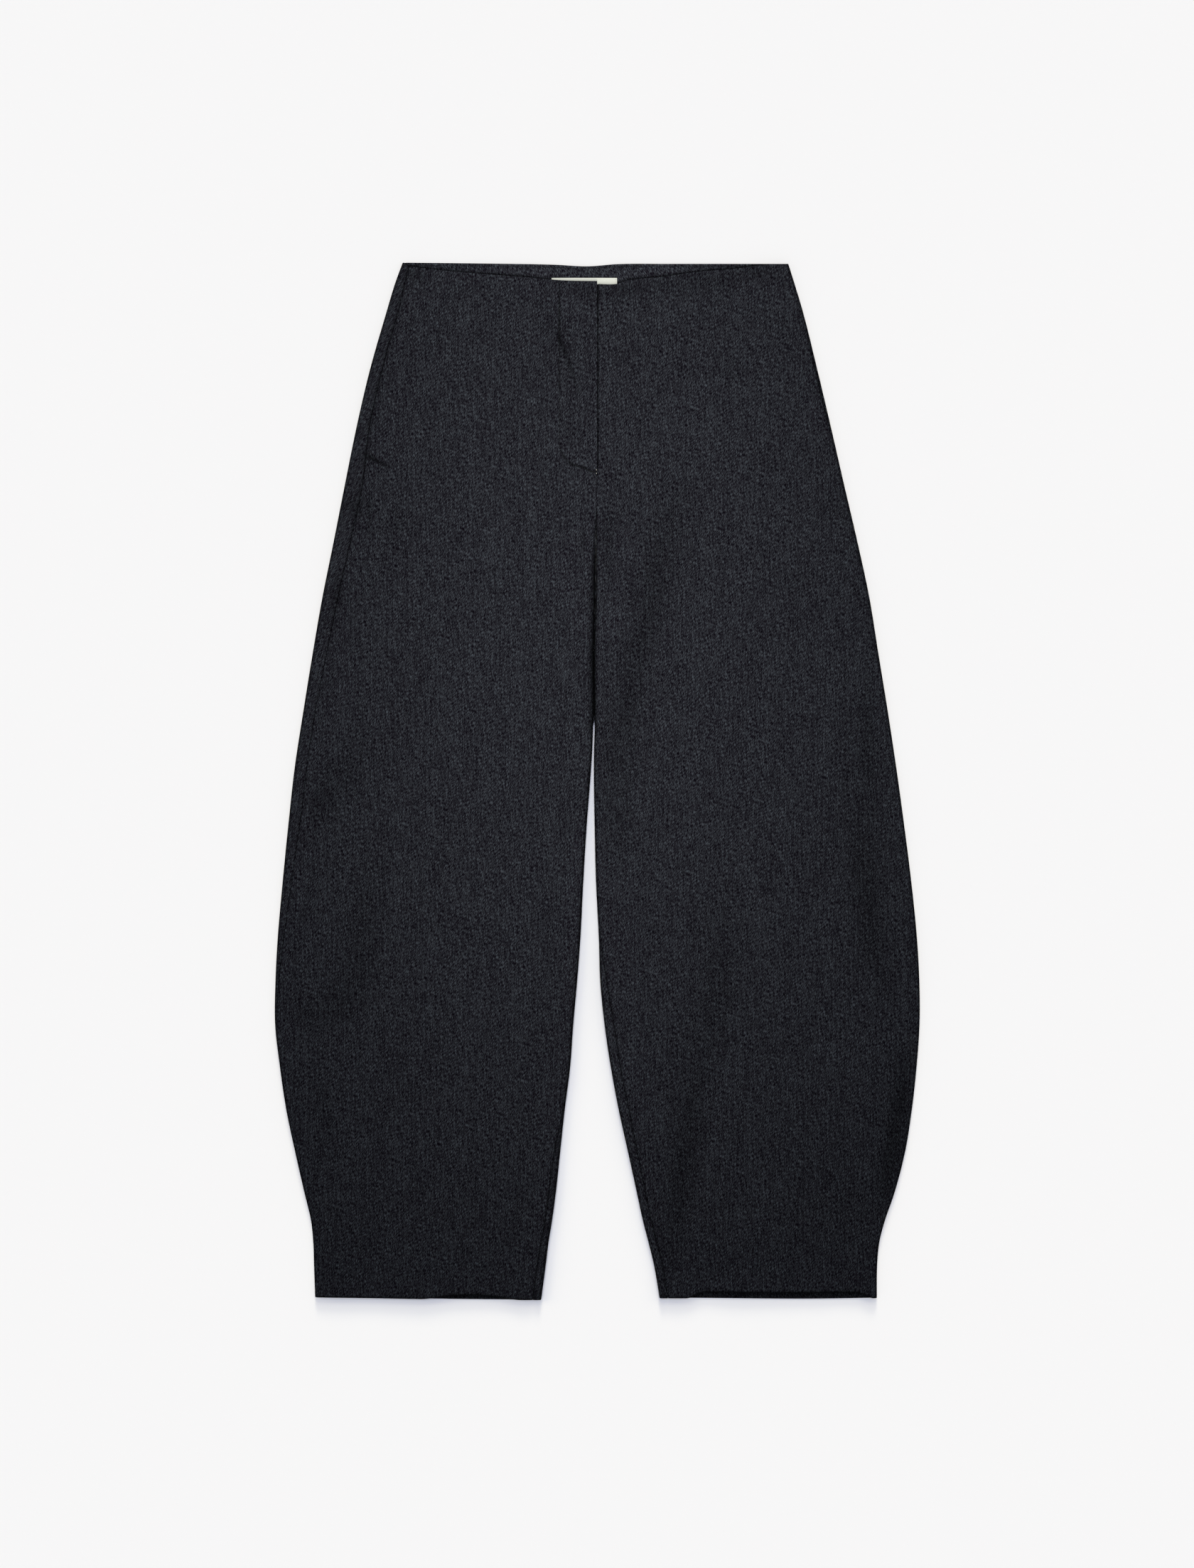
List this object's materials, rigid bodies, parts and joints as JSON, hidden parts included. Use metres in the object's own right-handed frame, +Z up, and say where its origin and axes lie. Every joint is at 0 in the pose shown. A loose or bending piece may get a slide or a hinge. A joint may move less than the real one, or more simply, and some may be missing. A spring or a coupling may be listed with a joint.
{
  "type": "barrel leg trousers",
  "caption": "Barrel leg trousers in dark twill, laid flat front up: wide curved legs that narrow to the hem, faced waist, fly and side pockets.",
  "frame": {"origin": "middle of the underside, on the surface that the trousers lie on", "axes": "+X towards the wearer's left side, +Y from the hems towards the waist, +Z up from the surface through the front"},
  "size_m": [0.6089, 0.98, 0.007],
  "materials": {
    "twill": "matt charcoal twill",
    "pocketing": "matt plain weave",
    "zip_tape": "matt woven tape",
    "label_weave": "satin woven label"
  },
  "bodies": {
    "root": {"front_right": "twill", "front_left": "twill", "back_right": "twill", "back_left": "twill", "back_facing_right": "twill", "back_facing_left": "twill", "fly_shield": "twill", "fly_zip": "zip_tape", "label": "label_weave", "pocket_right": "pocketing", "pocket_left": "pocketing"}
  },
  "joints": []
}
